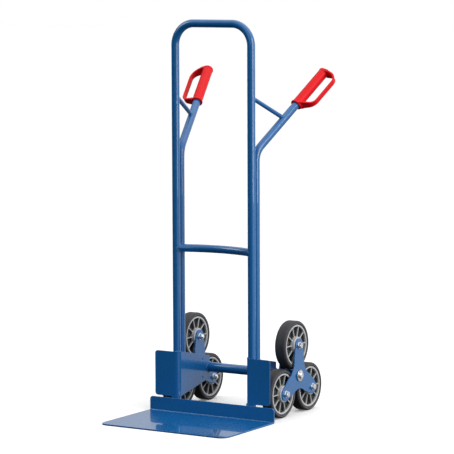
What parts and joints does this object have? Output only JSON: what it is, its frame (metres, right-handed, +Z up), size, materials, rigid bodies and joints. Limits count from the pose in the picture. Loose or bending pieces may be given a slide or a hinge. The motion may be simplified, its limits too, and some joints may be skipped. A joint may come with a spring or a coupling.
{
  "type": "stair-climbing hand truck",
  "caption": "Upright tubular hand truck with a folded toe plate, two guarded handle grips and rotating three-wheel stars for climbing stairs.",
  "frame": {"origin": "on the floor, at the middle of the truck's footprint, under the frame's middle plane", "axes": "+Z up; +Y to the rear, towards the user and the grips; +X to the right seen from the toe plate's side"},
  "size_m": [0.5636, 0.663, 1.3],
  "materials": {
    "blue_paint": "glossy powder coat over welded steel",
    "red_plastic": "satin moulded plastic",
    "tyre": "matt solid rubber",
    "rim_plastic": "satin moulded grey plastic",
    "black_plastic": "matt moulded plastic",
    "white_plastic": "natural nylon",
    "zinc": "bright zinc plate"
  },
  "bodies": {
    "frame": {"axle_rod": "zinc", "axle_spacers": "blue_paint", "axle_split_pins": "zinc", "axle_tube": "blue_paint", "axle_washers": "zinc", "cross_bar": "blue_paint", "frame_hoop": "blue_paint", "handle_end_plugs": "black_plastic", "left_bracket": "blue_paint", "left_grip": "red_plastic", "left_handle_strut": "blue_paint", "left_handle_tube": "blue_paint", "leg_end_plugs": "black_plastic", "right_bracket": "blue_paint", "right_grip": "red_plastic", "right_handle_strut": "blue_paint", "right_handle_tube": "blue_paint", "toe_plate": "blue_paint"},
    "left_star": {"left_bolt_washers": "zinc", "left_star_bushes": "white_plastic", "left_star_hub_tube": "blue_paint", "left_star_inner_plate": "blue_paint", "left_star_outer_plate": "blue_paint", "left_wheel_bolts": "zinc", "left_wheel_nuts": "zinc", "left_wheel_sleeves": "zinc"},
    "left_top_wheel": {"left_top_bearing": "white_plastic", "left_top_rim": "rim_plastic", "left_top_tyre": "tyre"},
    "left_front_wheel": {"left_front_bearing": "white_plastic", "left_front_rim": "rim_plastic", "left_front_tyre": "tyre"},
    "left_rear_wheel": {"left_rear_bearing": "white_plastic", "left_rear_rim": "rim_plastic", "left_rear_tyre": "tyre"},
    "right_star": {"right_bolt_washers": "zinc", "right_star_bushes": "white_plastic", "right_star_hub_tube": "blue_paint", "right_star_inner_plate": "blue_paint", "right_star_outer_plate": "blue_paint", "right_wheel_bolts": "zinc", "right_wheel_nuts": "zinc", "right_wheel_sleeves": "zinc"},
    "right_top_wheel": {"right_top_bearing": "white_plastic", "right_top_rim": "rim_plastic", "right_top_tyre": "tyre"},
    "right_front_wheel": {"right_front_bearing": "white_plastic", "right_front_rim": "rim_plastic", "right_front_tyre": "tyre"},
    "right_rear_wheel": {"right_rear_bearing": "white_plastic", "right_rear_rim": "rim_plastic", "right_rear_tyre": "tyre"}
  },
  "joints": [
    {"name": "left_star_spin", "type": "hinge", "parent": "frame", "child": "left_star", "pos_m": [-0.194, 0.16153, 0.13], "axis": [1, 0, 0], "continuous": true},
    {"name": "left_top_wheel_spin", "type": "hinge", "parent": "left_star", "child": "left_top_wheel", "pos_m": [-0.194, 0.16153, 0.23], "axis": [1, 0, 0], "continuous": true},
    {"name": "left_front_wheel_spin", "type": "hinge", "parent": "left_star", "child": "left_front_wheel", "pos_m": [-0.194, 0.07493, 0.08], "axis": [1, 0, 0], "continuous": true},
    {"name": "left_rear_wheel_spin", "type": "hinge", "parent": "left_star", "child": "left_rear_wheel", "pos_m": [-0.194, 0.24813, 0.08], "axis": [1, 0, 0], "continuous": true},
    {"name": "right_star_spin", "type": "hinge", "parent": "frame", "child": "right_star", "pos_m": [0.194, 0.16153, 0.13], "axis": [1, 0, 0], "continuous": true},
    {"name": "right_top_wheel_spin", "type": "hinge", "parent": "right_star", "child": "right_top_wheel", "pos_m": [0.194, 0.16153, 0.23], "axis": [1, 0, 0], "continuous": true},
    {"name": "right_front_wheel_spin", "type": "hinge", "parent": "right_star", "child": "right_front_wheel", "pos_m": [0.194, 0.07493, 0.08], "axis": [1, 0, 0], "continuous": true},
    {"name": "right_rear_wheel_spin", "type": "hinge", "parent": "right_star", "child": "right_rear_wheel", "pos_m": [0.194, 0.24813, 0.08], "axis": [1, 0, 0], "continuous": true}
  ]
}
